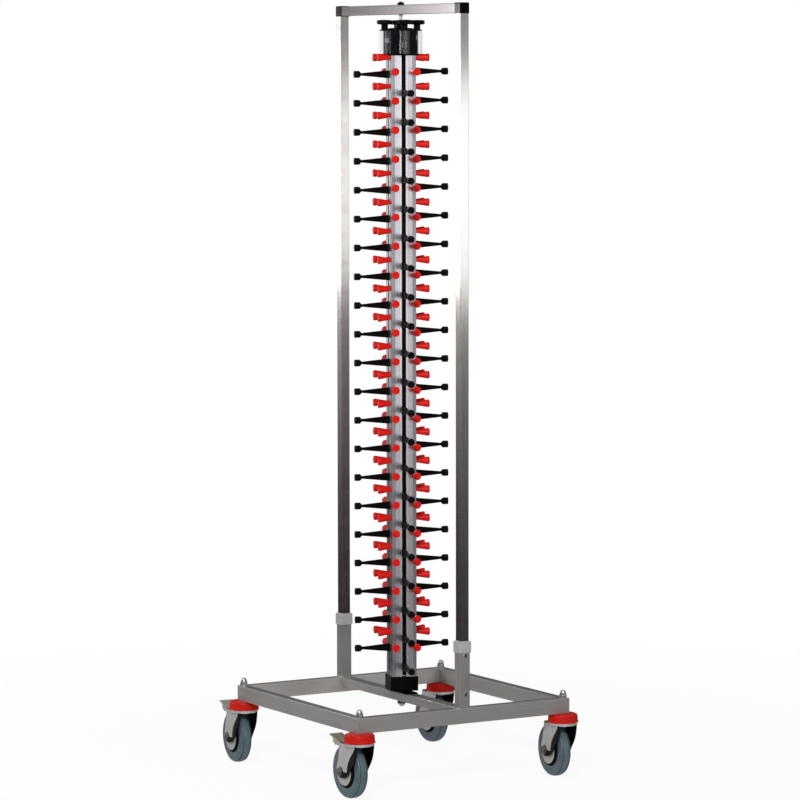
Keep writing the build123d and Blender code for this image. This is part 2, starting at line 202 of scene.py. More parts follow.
def hexagon(af, turn=0.0):
    r = af / math.sqrt(3)
    return [(r * math.cos((60 * k + turn) * D2R), r * math.sin((60 * k + turn) * D2R)) for k in range(6)]


def turn_z(deg, x=0.0, y=0.0, z=0.0):
    return Matrix.Translation((x, y, z)) @ Matrix.Rotation(deg * D2R, 4, "Z")


# ================================================================ materials
def new_mat(name):
    m = bpy.data.materials.new(name)
    m.use_nodes = True
    nt = m.node_tree
    nt.nodes.clear()
    out = nt.nodes.new("ShaderNodeOutputMaterial")
    b = nt.nodes.new("ShaderNodeBsdfPrincipled")
    nt.links.new(b.outputs[0], out.inputs[0])
    return m, nt, b


class Net:
    """Small helpers to write node trees."""

    def __init__(self, nt):
        self.nt = nt

    def node(self, kind, **props):
        n = self.nt.nodes.new(kind)
        for k, v in props.items():
            setattr(n, k, v)
        return n

    def link(self, a, b):
        self.nt.links.new(a, b)

    def coords(self, scale=(1, 1, 1), turn=0.0):
        t = self.node("ShaderNodeTexCoord")
        m = self.node("ShaderNodeMapping")
        m.inputs["Scale"].default_value = scale
        if turn:
            first = self.node("ShaderNodeMapping")
            first.inputs["Rotation"].default_value = (0, 0, turn * D2R)
            self.link(t.outputs["Object"], first.inputs["Vector"])
            self.link(first.outputs[0], m.inputs["Vector"])
        else:
            self.link(t.outputs["Object"], m.inputs["Vector"])
        return m.outputs[0]

    def noise(self, vec, scale=1.0, detail=2.0, rough=0.5, distort=0.0):
        n = self.node("ShaderNodeTexNoise")
        n.inputs["Scale"].default_value = scale
        n.inputs["Detail"].default_value = detail
        n.inputs["Roughness"].default_value = rough
        n.inputs["Distortion"].default_value = distort
        self.link(vec, n.inputs["Vector"])
        return n.outputs["Fac"]

    def span(self, value, a0, a1, b0, b1, smooth=False):
        n = self.node("ShaderNodeMapRange")
        if smooth:
            n.interpolation_type = "SMOOTHSTEP"
        for i, x in zip((1, 2, 3, 4), (a0, a1, b0, b1)):
            n.inputs[i].default_value = x
        self.link(value, n.inputs[0])
        return n.outputs[0]

    def math(self, op, a, b=None, c=None):
        n = self.node("ShaderNodeMath", operation=op)
        for i, x in enumerate((a, b, c)):
            if x is None:
                continue
            if isinstance(x, (int, float)):
                n.inputs[i].default_value = x
            else:
                self.link(x, n.inputs[i])
        return n.outputs[0]

    def mix(self, fac, a, b):
        n = self.node("ShaderNodeMix", data_type="RGBA")
        if isinstance(fac, (int, float)):
            n.inputs["Factor"].default_value = fac
        else:
            self.link(fac, n.inputs["Factor"])
        for key, x in (("A", a), ("B", b)):
            sock = [s for s in n.inputs if s.name == key and s.type == "RGBA"][0]
            if isinstance(x, tuple):
                sock.default_value = (*x, 1)
            else:
                self.link(x, sock)
        return [s for s in n.outputs if s.type == "RGBA"][0]

    def tangent(self, vec):
        """A fixed direction in the object's own frame, as the direction of the wider sheen."""
        c = self.node("ShaderNodeCombineXYZ")
        for i in range(3):
            c.inputs[i].default_value = vec[i]
        tr = self.node("ShaderNodeVectorTransform", vector_type="VECTOR", convert_from="OBJECT", convert_to="WORLD")
        self.link(c.outputs[0], tr.inputs[0])
        return tr.outputs[0]

    def bump(self, height, dist, strength=1.0, normal=None):
        n = self.node("ShaderNodeBump")
        n.inputs["Strength"].default_value = strength
        n.inputs["Distance"].default_value = dist
        self.link(height, n.inputs["Height"])
        if normal is not None:
            self.link(normal, n.inputs["Normal"])
        return n.outputs[0]


def scaled(c, k):
    return tuple(min(1.0, x * k) for x in c)


def brushed(name, color, rough, along, spread=0.09, var=0.10, cloud=0.05, line_bump=0.000006, turn=0.0, tint=(1, 1, 1), aniso=0.0, spread_dir=(0.7071, 0.7071, 0), metal=1.0, level=1.0):
    """Metal with fine lines along one axis, slightly uneven sheen and faint smudges. A level below 1 paints shade on
    faces that point up, darkening them towards level times the colour.
    """
    m, nt, b = new_mat(name)
    g = Net(nt)
    b.inputs["Metallic"].default_value = metal
    fine = {"X": (7, 1400, 1400), "Y": (1400, 7, 1400), "Z": (1400, 1400, 7)}[along]
    wide = {"X": (2.5, 260, 260), "Y": (260, 2.5, 260), "Z": (260, 260, 2.5)}[along]
    f = g.noise(g.coords(fine, turn), 1.0, 3.0, 0.6)
    w = g.noise(g.coords(wide, turn), 1.0, 2.0, 0.5)
    c = g.noise(g.coords((9, 9, 9)), 1.0, 3.0, 0.55)
    lines = g.math("ADD", g.math("MULTIPLY", f, 0.55), g.math("MULTIPLY", w, 0.45))
    tone = g.span(lines, 0.3, 0.7, 0.0, 1.0)
    base = g.mix(tone, scaled(color, 1 - var), scaled(color, 1 + var))
    smudge = g.span(c, 0.35, 0.7, 0.0, 1.0, True)
    base = g.mix(g.math("MULTIPLY", smudge, 0.35), base, tuple(x * t * 0.93 for x, t in zip(color, tint)))
    # painted shade: faces whose normal points up are darkened towards level times the colour
    if level < 1.0:
        own = g.node("ShaderNodeTexCoord")
        sep = g.node("ShaderNodeSeparateXYZ")
        g.link(own.outputs["Normal"], sep.inputs[0])
        base = g.mix(g.span(sep.outputs[2], 0.80, 0.97, 0.0, 1.0, True), base, scaled(color, level))
    g.link(base, b.inputs["Base Color"])
    r = g.math("ADD", g.span(lines, 0.3, 0.7, rough - spread * 0.5, rough + spread * 0.5), g.span(c, 0.3, 0.7, -cloud, cloud))
    g.link(r, b.inputs["Roughness"])
    g.link(g.bump(f, line_bump, 0.6), b.inputs["Normal"])
    if aniso:
        b.inputs["Anisotropic"].default_value = aniso
        g.link(g.tangent(spread_dir), b.inputs["Tangent"])
    return m


def moulded(name, color, rough, grain=0.00003, grain_size=900.0, var=0.08, coat=0.0, spec=0.5, wear=0.0, sss=0.0, glance=None):
    """Moulded plastic: a fine grain in the gloss, slow unevenness of colour and sheen, and faint rubbed patches."""
    m, nt, b = new_mat(name)
    g = Net(nt)
    b.inputs["IOR"].default_value = 1.48
    b.inputs["Specular IOR Level"].default_value = spec
    if glance is not None:
        edge = g.node("ShaderNodeLayerWeight")
        edge.inputs["Blend"].default_value = 0.5
        g.link(g.span(edge.outputs["Facing"], 0.2, 0.5, spec, glance), b.inputs["Specular IOR Level"])
    fine = g.noise(g.coords((1, 1, 1)), grain_size, 3.0, 0.6)
    slow = g.noise(g.coords((1, 1, 1)), 38.0, 4.0, 0.6, 0.3)
    base = g.mix(g.span(slow, 0.3, 0.72, 0, 1), scaled(color, 1 - var), scaled(color, 1 + var))
    if wear:
        rub = g.span(g.noise(g.coords((1, 1, 1)), 160.0, 5.0, 0.7), 0.62, 0.8, 0, wear)
        base = g.mix(rub, base, tuple(min(1, x * 0.6 + 0.08) for x in color))
    g.link(base, b.inputs["Base Color"])
    r = g.math("ADD", g.span(slow, 0.3, 0.7, rough - 0.05, rough + 0.06), g.span(fine, 0.3, 0.7, -0.03, 0.03))
    g.link(r, b.inputs["Roughness"])
    if coat:
        b.inputs["Coat Weight"].default_value = coat
        b.inputs["Coat Roughness"].default_value = 0.12
    if sss:
        b.inputs["Subsurface Weight"].default_value = sss
        b.inputs["Subsurface Radius"].default_value = (1.0, 0.2, 0.1)
        b.inputs["Subsurface Scale"].default_value = 0.002
    g.link(g.bump(fine, grain, 0.5), b.inputs["Normal"])
    return m


def anodised(name):
    """The column: satin aluminium with lengthwise drawing lines, and painted tonal bands across each face: a painted
    highlight along the middle and painted shade towards the edges.
    """
    m, nt, b = new_mat(name)
    g = Net(nt)
    b.inputs["Metallic"].default_value = 1.0
    own = g.coords((1, 1, 1), -COL_ANGLE)
    sep = g.node("ShaderNodeSeparateXYZ")
    g.link(own, sep.inputs[0])
    side = g.math("MINIMUM", g.math("ABSOLUTE", sep.outputs[0]), g.math("ABSOLUTE", sep.outputs[1]))
    # painted shade on the outer band of each face, and a painted highlight on its middle band
    edge_band_painted_shade = g.span(side, 0.0203, 0.0207, 0.0, 1.0)
    mid_band_painted_highlight = g.span(side, 0.0105, 0.0112, 1.0, 0.0, True)
    f = g.noise(g.coords((1500, 1500, 5), -COL_ANGLE), 1.0, 3.0, 0.6)
    w = g.noise(g.coords((330, 330, 1.4), -COL_ANGLE), 1.0, 2.0, 0.5)
    c = g.noise(g.coords((14, 14, 7)), 1.0, 3.0, 0.55)
    lines = g.math("ADD", g.math("MULTIPLY", f, 0.45), g.math("MULTIPLY", w, 0.55))
    base = g.mix(g.span(lines, 0.3, 0.7, 0, 1), (0.76, 0.75, 0.79), (0.88, 0.87, 0.91))
    base = g.mix(g.math("MULTIPLY", edge_band_painted_shade, 0.85), base, (0.37, 0.36, 0.395))
    base = g.mix(g.math("MULTIPLY", mid_band_painted_highlight, 0.5), base, (0.94, 0.93, 0.95))
    base = g.mix(g.span(c, 0.45, 0.75, 0, 0.2, True), base, (0.68, 0.67, 0.70))
    g.link(base, b.inputs["Base Color"])
    r = g.math("ADD", g.span(lines, 0.3, 0.7, 0.20, 0.25), g.span(c, 0.3, 0.7, -0.02, 0.03))
    r = g.math("ADD", r, g.math("MULTIPLY", edge_band_painted_shade, 0.05))
    g.link(r, b.inputs["Roughness"])
    b.inputs["Anisotropic"].default_value = 0.4
    a = (COL_ANGLE + 45) * D2R
    g.link(g.tangent((math.cos(a), math.sin(a), 0)), b.inputs["Tangent"])
    g.link(g.bump(f, 0.000004, 0.6), b.inputs["Normal"])
    return m


def plated(name, color, rough, tint=(1.0, 0.96, 0.9), metal=1.0, streak=0.0):
    """Zinc-plated pressed steel: a faint spangle and a warm and cool drift."""
    m, nt, b = new_mat(name)
    g = Net(nt)
    b.inputs["Metallic"].default_value = metal
    v = g.node("ShaderNodeTexVoronoi", feature="F1")
    v.inputs["Scale"].default_value = 330.0
    g.link(g.coords(), v.inputs["Vector"])
    spangle = g.span(v.outputs["Distance"], 0.0, 0.8, 0, 1)
    slow = g.noise(g.coords(), 30.0, 3.0, 0.6)
    fine = g.noise(g.coords(), 1200.0, 3.0, 0.6)
    base = g.mix(g.span(slow, 0.3, 0.7, 0, 1), tuple(x * t for x, t in zip(color, tint)), tuple(x * t for x, t in zip(color, (0.93, 0.99, 1.0))))
    base = g.mix(g.math("MULTIPLY", spangle, 0.12), base, scaled(color, 0.8))
    if streak:
        lines = g.noise(g.coords((170, 170, 9)), 1.0, 3.0, 0.6, 0.2)
        base = g.mix(g.span(lines, 0.42, 0.7, 0, streak), base, scaled(color, 0.55))
    g.link(base, b.inputs["Base Color"])
    g.link(g.math("ADD", g.span(slow, 0.3, 0.7, rough - 0.05, rough + 0.05), g.span(fine, 0.3, 0.7, -0.03, 0.03)), b.inputs["Roughness"])
    g.link(g.bump(fine, 0.00002, 0.5), b.inputs["Normal"])
    return m


def rubber(name, color, rough=0.48):
    m, nt, b = new_mat(name)
    g = Net(nt)
    b.inputs["Specular IOR Level"].default_value = 0.8
    fine = g.noise(g.coords(), 1500.0, 3.0, 0.65)
    slow = g.noise(g.coords(), 45.0, 4.0, 0.6)
    base = g.mix(g.span(slow, 0.3, 0.72, 0, 1), scaled(color, 0.88), scaled(color, 1.12))
    dust = g.span(g.noise(g.coords(), 220.0, 4.0, 0.7), 0.6, 0.8, 0, 0.25)
    base = g.mix(dust, base, tuple(min(1, x * 0.8 + 0.07) for x in color))
    g.link(base, b.inputs["Base Color"])
    g.link(g.span(slow, 0.3, 0.7, rough - 0.06, rough + 0.06), b.inputs["Roughness"])
    g.link(g.bump(fine, 0.00006, 0.6), b.inputs["Normal"])
    return m


def clear(name):
    """Clear thin-walled plastic: mostly seen through, with a sheen that grows towards the edges."""
    m, nt, b = new_mat(name)
    nt.nodes.remove(b)
    g = Net(nt)
    slow = g.noise(g.coords((40, 40, 12)), 1.0, 3.0, 0.6)
    sheen = g.node("ShaderNodeBsdfGlossy")
    sheen.inputs["Color"].default_value = (0.93, 0.93, 0.96, 1)
    g.link(g.span(slow, 0.35, 0.7, 0.17, 0.20), sheen.inputs["Roughness"])
    through = g.node("ShaderNodeBsdfTransparent")
    through.inputs["Color"].default_value = (0.983, 0.976, 0.988, 1)
    edge = g.node("ShaderNodeLayerWeight")
    edge.inputs["Blend"].default_value = 0.5
    facing = g.math("POWER", edge.outputs["Facing"], 3.0)
    mix = g.node("ShaderNodeMixShader")
    g.link(g.math("ADD", g.math("MULTIPLY", facing, 0.34), g.span(slow, 0.3, 0.7, 0.06, 0.07)), mix.inputs[0])
    g.link(through.outputs[0], mix.inputs[1])
    g.link(sheen.outputs[0], mix.inputs[2])
    out = [n for n in nt.nodes if n.type == "OUTPUT_MATERIAL"][0]
    g.link(mix.outputs[0], out.inputs[0])
    return m


STEEL = (0.60, 0.582, 0.563)
TUBE = (0.66, 0.635, 0.62)
mats = {
    # painted light and shade: the rails, beam and lower posts are one satin steel, scaled lighter for the back rail and
    # darker for the beam and side rails, and level paints shade on their upward faces
    "rail_x": brushed("satin_steel_x", scaled(STEEL, 0.71), 0.44, "X", aniso=0.5, spread_dir=(0, 0.7071, 0.7071), metal=0.84, level=0.72),
    "rail_y": brushed("satin_steel_y", scaled(STEEL, 0.87), 0.44, "Y", aniso=0.5, spread_dir=(0.7071, 0, 0.7071), metal=0.82, level=0.62),
    "inner_y": brushed("satin_steel_back_painted_light", scaled(STEEL, 1.26), 0.44, "Y", aniso=0.5, spread_dir=(0.7071, 0, 0.7071), metal=0.82, level=0.5),
    "beam_x": brushed("satin_steel_beam_painted_shade", scaled(STEEL, 0.57), 0.44, "X", aniso=0.5, spread_dir=(0, 0.7071, 0.7071), metal=0.82, level=0.9),
    "post_z": brushed("satin_steel_z", scaled(STEEL, 0.99), 0.40, "Z", aniso=0.6, metal=0.88),
    "tube_z": brushed("bright_steel_z", TUBE, 0.225, "Z", spread=0.05, cloud=0.02, aniso=0.9),
    # painted shade: the top bar is the same bright steel as the uprights, with its colour set far darker
    "bar_x": brushed("bright_steel_x_painted_shade", (0.279, 0.259, 0.263), 0.20, "X", spread=0.04, cloud=0.02, aniso=0.5, spread_dir=(0, 0.7071, 0.7071)),
    "alu": anodised("column_aluminium"),
    "bush": moulded("white_plastic", (0.80, 0.79, 0.79), 0.40, grain=0.00002),
    "nut_block": plated("half_nut_steel", (0.45, 0.44, 0.47), 0.42, tint=(1, 0.99, 1), metal=0.7),
    "collar": moulded("light_plastic", (0.395, 0.385, 0.379), 0.42, grain=0.00002),
    "black": moulded("black_plastic", (0.003, 0.0032, 0.0031), 0.24, grain=0.00001, var=0.2, wear=0.005, spec=0.075),
    "connector": moulded("black_plastic_polished", (0.003, 0.003, 0.003), 0.16, grain=0.000004, var=0.2, wear=0.01, spec=0.04, glance=0.52),
    "black_arm": moulded("black_plastic_arm", (0.0032, 0.0022, 0.0017), 0.42, grain=0.00001, var=0.2, wear=0.01, spec=0.05),
    "black_matt": moulded("black_plastic_matt", (0.002, 0.002, 0.002), 0.42, grain=0.00002, var=0.2, wear=0.01, spec=0.06),
    "cap": moulded("black_rubber", (0.003, 0.003, 0.003), 0.36, grain=0.00001, var=0.2, spec=0.08),
    "dark_rod": plated("dark_steel", (0.016, 0.015, 0.016), 0.60, tint=(1, 1, 1)),
    "red": moulded("red_plastic", (0.70, 0.0085, 0.0045), 0.36, grain=0.00001, var=0.05, spec=0.22),
    "bumper": moulded("red_bumper", (0.54, 0.0095, 0.004), 0.42, grain=0.00001, var=0.06, spec=0.16),
    "clear": clear("clear_plastic"),
    "chrome": plated("fastener_steel", (0.74, 0.73, 0.72), 0.14, tint=(1, 0.98, 0.96)),
    "cap_nut": plated("cap_nut_steel", (0.60, 0.545, 0.525), 0.22, tint=(1, 0.97, 0.95), metal=0.82),
    "nut": plated("axle_nut_steel", (0.32, 0.293, 0.26), 0.42, tint=(1, 0.97, 0.92)),
    "zinc": plated("zinc_steel", (0.765, 0.735, 0.74), 0.34, tint=(1, 0.97, 0.95), metal=0.5, streak=0.35),
    # painted shade: a near-black copy of the plated steel for the fork's leg plates and the pedal pins
    "leg": plated("pressed_steel_painted_shade", (0.020, 0.018, 0.016), 0.40, tint=(1, 0.97, 0.92), metal=0.92),
    "pedal": plated("pedal_steel", (0.50, 0.465, 0.39), 0.40, metal=0.7),
    "cheek": plated("pedal_cheek_steel", (0.74, 0.69, 0.70), 0.32, tint=(1, 0.97, 0.96), metal=0.6),
    "tyre": rubber("grey_tyre", (0.078, 0.124, 0.143)),
    "rim": moulded("rim_black", (0.003, 0.003, 0.003), 0.40, grain=0.00001, var=0.2, spec=0.06),
    "disc": plated("hub_disc", (0.665, 0.605, 0.605), 0.36, tint=(1, 0.98, 0.97), metal=0.45),
}


def dress(node, *keys):
    me = nodes[node].data
    me.materials.clear()
    for k in keys:
        me.materials.append(mats[k])


for n in ("front_rail", "back_rail"):
    dress(n, "rail_y")
for n in ("left_rail", "right_rail", "cross_beam"):
    dress(n, "rail_x")
dress("lower_posts", "post_z")
dress("upright_tubes", "tube_z")
dress("top_bar", "bar_x")
dress("post_collars", "collar")
dress("post_screws", "chrome")
dress("corner_connectors", "connector")
dress("top_pivot_pin", "zinc")
dress("top_pivot_bush", "bush")
dress("top_pivot_cap", "black")
dress("swivel_pad", "black_matt")
dress("swivel_washer", "black_matt")
dress("lower_pivot_bolt", "chrome")
dress("lower_pivot_nut", "chrome")
dress("caster_stems", "zinc")
dress("caster_cap_nuts", "chrome")
dress("corner_bumpers", "bumper")
dress("column_extrusion", "alu")
dress("base_block", "black_matt")
dress("head_block", "black")
dress("clear_sleeves", "clear")
dress("grip_pins", "red")
for s in STACKS:
    dress(f"comb_strip_{s}", "black_matt", "nut_block")
    strip = nodes[f"comb_strip_{s}"]
    for face in strip.data.polygons:
        at = strip.matrix_world @ face.center
        face.material_index = 1 if math.hypot(at.x, at.y) > 0.0302 else 0
    dress(f"arms_{s}", "black_arm")
    dress(f"arm_tips_{s}", "cap")
    dress(f"height_knob_{s}", "black")
for c in CORNERS:
    dress(f"fork_{c}", "zinc")
    dress(f"axle_bolt_{c}", "chrome")
    dress(f"tyre_{c}", "tyre")
    dress(f"wheel_hub_{c}", "disc")
    if f"brake_pedal_{c}" in nodes:
        dress(f"brake_pedal_{c}", "zinc")


def stand_in(piece, name, keys, body, node, angle=32.0):
    """Makes the piece, lets it ride on its body and stand for its CAD node."""
    ob = piece.make(name, [mats[k] for k in keys], angle)
    even = ob.modifiers.new("even_flats", "WEIGHTED_NORMAL")
    even.keep_sharp = True
    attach(ob, body)
    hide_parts(node)
    return ob


# ==================================================================== pieces
# base rails: rounded long edges, and a fine line where the mitres meet
def rail_mesh():
    o, i = HALF, HALF - RAIL_W
    bm = bmesh.new()
    outline = [(o, -o), (o, o), (i, i), (i, -i)]
    low = [bm.verts.new((x, y, RAIL_Z)) for x, y in outline]
    top = [bm.verts.new((x, y, RAIL_TOP)) for x, y in outline]
    bm.faces.new(low[::-1])
    bm.faces.new(top)
    for a in range(4):
        b = (a + 1) % 4
        bm.faces.new((low[a], low[b], top[b], top[a]))
    bmesh.ops.recalc_face_normals(bm, faces=bm.faces)
    along = [e for e in bm.edges if abs((e.verts[0].co - e.verts[1].co).normalized().y) > 0.99]
    bmesh.ops.bevel(bm, geom=along, offset=1.5, segments=4, profile=0.5, affect="EDGES")
    ends = []
    for f in bm.faces:
        nrm = f.normal
        if abs(abs(nrm.x) - abs(nrm.y)) < 0.02 and abs(nrm.z) < 0.02 and f.calc_area() > 400:
            ends += list(f.edges)
    bmesh.ops.bevel(bm, geom=list(set(ends)), offset=0.12, segments=1, profile=0.5, affect="EDGES")
    bm.verts.index_update()
    out = [tuple(v.co) for v in bm.verts], [tuple(v.index for v in f.verts) for f in bm.faces]
    bm.free()
    return out


rail_v, rail_f = rail_mesh()
# the back rail takes the lighter painted-light copy of the steel
for n, deg, key in (("front", 0, "rail_y"), ("right", 90, "rail_x"), ("back", 180, "inner_y"), ("left", 270, "rail_x")):
    p = Piece()
    p.add(rail_v, rail_f, 0, turn_z(deg))
    stand_in(p, f"{n}_rail_look", [key], "base", f"{n}_rail")

p = Piece()
p.add(*slab(RAIL_W - HALF, HALF - RAIL_W, -15.0, 15.0, 170.0, 190.0, 1.5, 3, pick=lambda e: abs((e.verts[0].co - e.verts[1].co).normalized().x) > 0.99))
stand_in(p, "cross_beam_look", ["beam_x"], "base", "cross_beam")

# bumpers under the corners
BUMP = rounded([(29.0, 134.0), (36.5, 134.0, 0.4), (36.5, 135.4, 0.6), (35.0, 137.0, 0.8), (34.4, 148.8, 2.0), (33.2, 151.6, 1.6), (30.0, 153.4, 1.5), (27.0, 154.0),
                (5.0, 154.0), (5.0, 150.0), (28.4, 150.0, 0.5)], 3)
p = Piece()
bv, bf = lathe(BUMP, 72)
for sx, sy in CORNERS.values():
    p.add(bv, bf, 0, Matrix.Translation((sx * STEM, sy * STEM, 0)))
stand_in(p, "corner_bumpers_look", ["bumper"], "base", "corner_bumpers")

# cap nuts: hexagon with turned corners, and a dome
p = Piece()
for sx, sy in CORNERS.values():
    at = Matrix.Translation((sx * STEM, sy * STEM, 0))
    p.add(*prism(hexagon(16.0, 20), 190.0, 198.2, bevel=0.7, seg=2), 0, at)
    p.add(*lathe(rounded([(0, 197.0), (7.2, 197.0), (7.2, 200.8, 0.6), (7.0, 201.2), (6.9, 203.0, 2.0), (5.9, 205.6, 2.0), (3.6, 207.6, 2.0), (0, 208.2)], 3), 40), 0, at)
    p.add(*lathe([(5.2, 190.0), (9.1, 190.0), (9.1, 190.9), (8.8, 191.1), (5.2, 191.1)], 40), 0, at)
stand_in(p, "caster_cap_nuts_look", ["cap_nut"], "base", "caster_cap_nuts")

# red grips
GRIP = rounded([(0, 0), (4.2, 0), (8.35, 23.8, 2.2), (8.9, 25.8, 1.6), (8.9, 31.4, 1.2), (6.6, 31.4, 0.5), (6.2, 31.0, 0.5), (0, 30.9)], 4)
gv, gf = lathe(GRIP, 32, "X")
p = Piece()
for name, deg in STACKS.items():
    top = Z_FACE if name in ("front", "back") else Z_SIDE
    for level in range(LEVELS):
        for side in (-GRIP_SIDE, GRIP_SIDE):
            p.add(gv, gf, 0, turn_z(COL_ANGLE + deg) @ Matrix.Translation((GRIP_ROOT, side, top - level * PITCH)))
stand_in(p, "grip_pins_look", ["red"], "column", "grip_pins", 40)


# arms and their end caps
def arm_section(t):
    x = 30.0 + (ARM_END + 1.5 - 30.0) * t
    w, h = 4.0 + (2.6 - 4.0) * t, 9.2 + (2.8 - 9.2) * t
    depth = 1.1 * min(1.0, max(0.0, t / 0.07)) * min(1.0, max(0.0, (0.80 - t) / 0.10))
    lip = 2.1 - 0.9 * t
    web = max(0.4, h - lip)
    half = rounded([(w, -h, 1.1), (w, -web, 0.25), (w - depth, -web + 0.5, 0.25), (w - depth, web - 0.5, 0.25), (w, web, 0.25), (w, h, 1.1), (-w, h, 1.1),
                    (-w, web, 0.25), (-w + depth, web - 0.5, 0.25), (-w + depth, -web + 0.5, 0.25), (-w, -web, 0.25), (-w, -h, 1.1)], 2)
    return [(x, a, b) for a, b in half]


av, af = loft([arm_section(t) for t in (0, 0.035, 0.07, 0.2, 0.35, 0.5, 0.62, 0.70, 0.76, 0.80, 0.9, 1.0)])
TIP = rounded([(0, ARM_END), (3.4, ARM_END, 0.4), (8.1, ARM_END + 4.6, 1.4), (8.1, ARM_TIP, 1.6), (5.6, ARM_TIP, 0.4), (5.3, ARM_TIP - 0.4, 0.4), (0, ARM_TIP - 0.4)], 4)
tv, tf = lathe(TIP, 32, "X")
for name, deg in STACKS.items():
    z0 = (Z_FACE if name in ("front", "back") else Z_SIDE) - DROP[name]
    arms, tips = Piece(), Piece()
    for level in range(LEVELS):
        at = turn_z(COL_ANGLE + deg, 0, 0, z0 - level * PITCH)
        arms.add(av, af, 0, at)
        tips.add(tv, tf, 0, at)
    stand_in(arms, f"arms_{name}_look", ["black_arm"], f"comb_{name}", f"arms_{name}", 28)
    stand_in(tips, f"arm_tips_{name}_look", ["cap"], f"comb_{name}", f"arm_tips_{name}", 40)

# height knobs: a fluted disc, a stem with a flange, and a threaded spindle
DISC = rounded([(0, 1752.9), (7.85, 1752.9), (14.8, 1753.3, 1.5), (18.0, 1755.1, 1.6), (18.0, 1761.9, 2.4), (14.4, 1763.5, 2.0), (9.0, 1763.8, 0.8), (8.2, 1763.0, 0.6), (0, 1762.8)], 4)
STEM_P = rounded([(0, 1737.3), (2.9, 1737.3), (2.9, 1738.6), (12.0, 1738.6, 0.6), (12.0, 1740.6, 0.8), (7.85, 1741.9, 1.0), (7.85, 1753.7), (0, 1753.7)], 3)


def flutes(r, h, a):
    k = max(0.0, min(1.0, (r - 14.5) / 3.0))
    return r - k * 0.75 * (0.5 + 0.5 * math.cos(20 * a)) ** 2


def thread(z0, z1, r0, r1, pitch, n=20, steps=8):
    """A rod with a helical thread."""
    count = int((z1 - z0) / pitch * steps)
    verts, faces = [], []
    for i in range(count + 1):
        z = z0 + (z1 - z0) * i / count
        for k in range(n):
            a = 2 * math.pi * k / n
            u = ((z - z0) / pitch - k / n) % 1.0
            r = r0 + (r1 - r0) * min(1.0, max(0.0, 1.35 - abs(u - 0.5) * 4.2 + 0.15))
            verts.append((r * math.cos(a), r * math.sin(a), z))
    for i in range(count):
        for k in range(n):
            j = (k + 1) % n
            faces.append((i * n + k, i * n + j, (i + 1) * n + j, (i + 1) * n + k))
    faces.append(tuple(range(n))[::-1])
    faces.append(tuple(range(count * n, count * n + n)))
    return verts, faces


dv, df = lathe(DISC, 160, wave=flutes)
sv, sf = lathe(STEM_P, 48)
hv, hf = thread(1681.8, 1738.3, 2.75, 3.0, 3.0)
for name, deg in STACKS.items():
    p = Piece()
    at = turn_z(COL_ANGLE + deg) @ Matrix.Translation((KNOB_R, 0, 0))
    p.add(dv, df, 0, at)
    p.add(sv, sf, 0, at)
    p.add(hv, hf, 1, at)
    stand_in(p, f"height_knob_{name}_look", ["black", "dark_rod"], f"knob_{name}", f"height_knob_{name}", 35)

# casters
LEG = [(24.5, 127.5), (23.5, 121.5), (22.3, 115.0), (20.8, 108.0), (17.8, 99.0), (13.8, 91.0), (8.2, 83.0), (2.0, 75.0), (-4.5, 66.5),
       (-11.0, 58.8), (-18.5, 53.0), (-27.0, 49.6), (-35.0, 48.2), (-42.0, 48.0), (-48.5, 49.4), (-53.4, 52.8), (-56.6, 57.6), (-57.8, 63.5),
       (-57.4, 70.0), (-55.4, 82.0), (-52.6, 95.0), (-49.6, 107.0), (-47.6, 118.0), (-47.0, 131.0), (-25.0, 131.0), (20.0, 131.0)]


def panel_line():
    """The raised panel: rounded corners, and an arch cut round the axle's nut."""
    cut = 11.0
    low = 64.0
    dx = math.sqrt(cut ** 2 - (low - WHEEL_R) ** 2)
    arch = []
    a0, a1 = math.atan2(low - WHEEL_R, dx), math.atan2(low - WHEEL_R, -dx)
    for k in range(15):
        a = a0 + (a1 - a0) * k / 14
        arch.append((-TRAIL + cut * math.cos(a), WHEEL_R + cut * math.sin(a)))
    body = [(18.5, 121.5, 2.5), (9.0, 110.0, 8), (-2.0, 98.5, 8), (-9.5, 87.0, 8), (-13.5, 76.0, 8), (-15.5, 64.0, 1.2)]
    rest = [(-56.2, 64.0, 1.2), (-56.0, 72.0, 6), (-54.2, 84.0, 8), (-51.4, 96.0, 8), (-48.6, 108.0, 8), (-46.6, 118.0, 8), (-46.0, 128.5, 1.5), (18.5, 128.5, 1.5)]
    return rounded(body + arch + rest, 3)


def smooth_line(points, per=3):
    """Points on a curve through a closed outline's points, so that a bend has no corners."""
    out, n = [], len(points)
    for i in range(n):
        p0, p1, p2, p3 = (Vector(points[(i + k - 1) % n]) for k in range(4))
        a, b = p1 - p0, p2 - p1
        c = p3 - p2
        straight = b.length > 16 or a.angle(b) > 0.75 or b.angle(c) > 0.75
        for k in range(1 if straight else per):
            t = k / per
            q = 0.5 * ((2 * p1) + (-p0 + p2) * t + (2 * p0 - 5 * p1 + 4 * p2 - p3) * t * t + (-p0 + 3 * p1 - 3 * p2 + p3) * t ** 3)
            out.append((q.x, q.y))
    return out


leg_line = smooth_line(LEG)
PLATE = rounded([(5.05, 127.0), (32.6, 127.0, 0.8), (33.5, 128.0, 0.8), (33.5, 133.2, 0.8), (32.4, 133.7, 0.6), (27.0, 133.7), (25.5, 132.9), (23.0, 132.9), (21.0, 134.0), (21.0, 141.6, 0.6), (5.05, 141.6)], 2)


def wheel_line():
    half = [(39.5, 12.6), (42.0, 13.5), (46.0, 13.95), (50.5, 14.0), (53.6, 13.8), (55.6, 13.35), (56.2, 13.0), (56.1, 12.6), (56.9, 12.4), (58.4, 12.0),
            (59.8, 11.1), (60.7, 9.9), (61.0, 9.3), (59.0, 8.9), (58.9, 7.7), (61.6, 7.3), (62.1, 5.6), (62.35, 3.8), (62.45, 1.8)]
    return half + [(r, -y) for r, y in reversed(half)]


